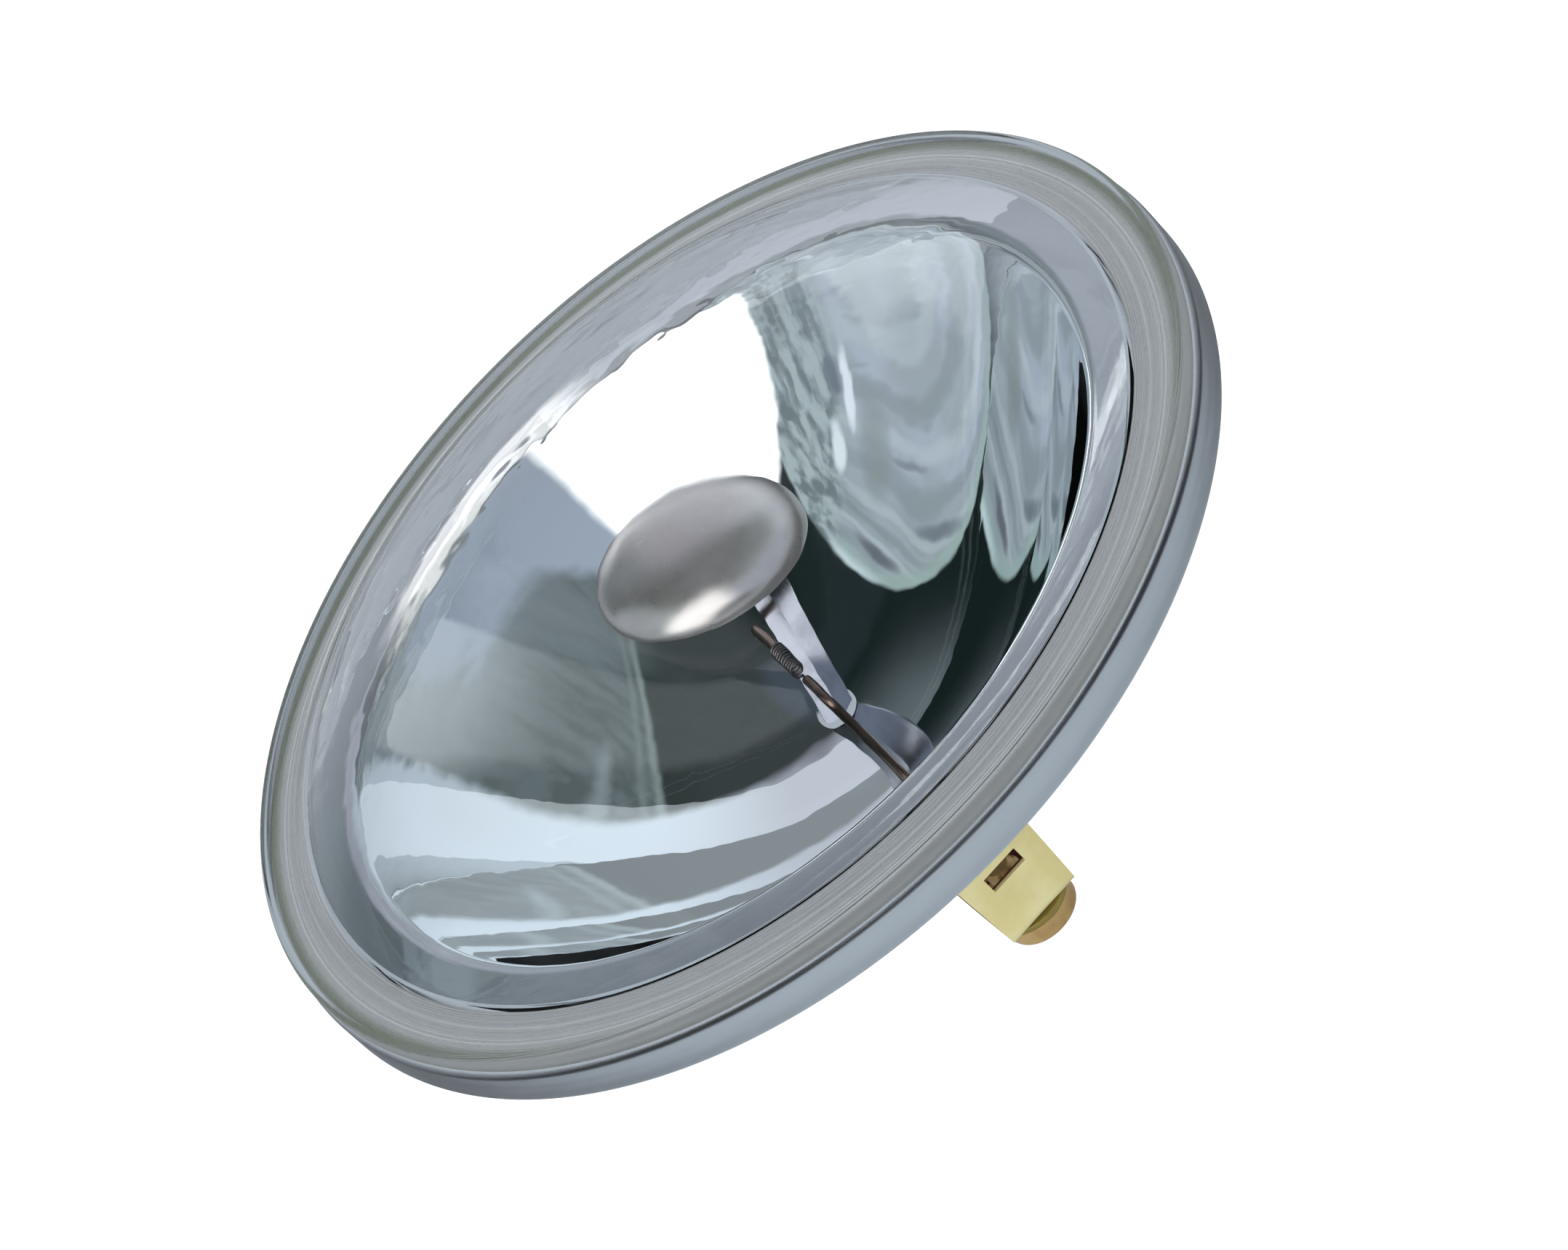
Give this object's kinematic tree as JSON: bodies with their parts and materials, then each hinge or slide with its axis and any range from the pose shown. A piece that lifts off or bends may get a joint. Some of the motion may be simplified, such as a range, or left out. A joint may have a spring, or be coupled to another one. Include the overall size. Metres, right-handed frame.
{
  "type": "sealed beam spotlight lamp",
  "caption": "Round sealed-beam spotlight bulb: clear domed lens on a mirrored glass bowl, shielded filament and folded brass screw terminals behind.",
  "frame": {"origin": "on the beam axis in the rim, at the fused seam between lens and bowl", "axes": "+Z along the beam, out through the lens; the two leads and screw terminals lie along Y"},
  "size_m": [0.1127, 0.1126, 0.0681],
  "materials": {
    "lens_glass": "clear pressed glass, fire polished, faint green-blue tint at its edge",
    "bowl_glass": "clear pressed glass with a pale green-blue tint",
    "mirror_film": "bright vacuum-deposited aluminium",
    "tungsten_wire": "drawn tungsten, grey",
    "shield_metal": "satin drawn nickel-plated steel",
    "arm_nickel": "stamped nickel strip",
    "ferrule_metal": "oxidised nickel-iron thimble",
    "solder_metal": "dull soft solder",
    "lead_nickel": "nickel wire, slightly browned",
    "terminal_brass": "pale folded brass strip",
    "washer_brass": "dull brass",
    "screw_brass": "turned brass, slightly browned"
  },
  "bodies": {
    "lamp": {"lens": "lens_glass", "reflector_bowl": "bowl_glass", "mirror_film": "mirror_film", "filament": "tungsten_wire", "filament_shield": "shield_metal", "shield_arm": "arm_nickel", "ferrule_near": "ferrule_metal", "solder_near": "solder_metal", "lead_near": "lead_nickel", "terminal_near": "terminal_brass", "ferrule_far": "ferrule_metal", "solder_far": "solder_metal", "lead_far": "lead_nickel", "terminal_far": "terminal_brass"},
    "washer_near": {"washer_near": "washer_brass"},
    "screw_near": {"screw_near": "screw_brass"},
    "washer_far": {"washer_far": "washer_brass"},
    "screw_far": {"screw_far": "screw_brass"}
  },
  "joints": [
    {"name": "near_washer_lift", "type": "slide", "parent": "lamp", "child": "washer_near", "axis": [0, 0, -1], "range_m": [0, 0.00476]},
    {"name": "near_screw_turn", "type": "hinge", "parent": "washer_near", "child": "screw_near", "pos_m": [0, -0.0094, -0.048], "axis": [0, 0, -1], "range_deg": [0, 2160]},
    {"name": "far_washer_lift", "type": "slide", "parent": "lamp", "child": "washer_far", "axis": [0, 0, -1], "range_m": [0, 0.00476]},
    {"name": "far_screw_turn", "type": "hinge", "parent": "washer_far", "child": "screw_far", "pos_m": [0, 0.0094, -0.048], "axis": [0, 0, -1], "range_deg": [0, 2160]}
  ],
  "couplings": [
    {"joint": "near_screw_turn", "follows": "near_washer_lift", "rad_per_m": 7915.8},
    {"joint": "far_screw_turn", "follows": "far_washer_lift", "rad_per_m": 7915.8}
  ]
}
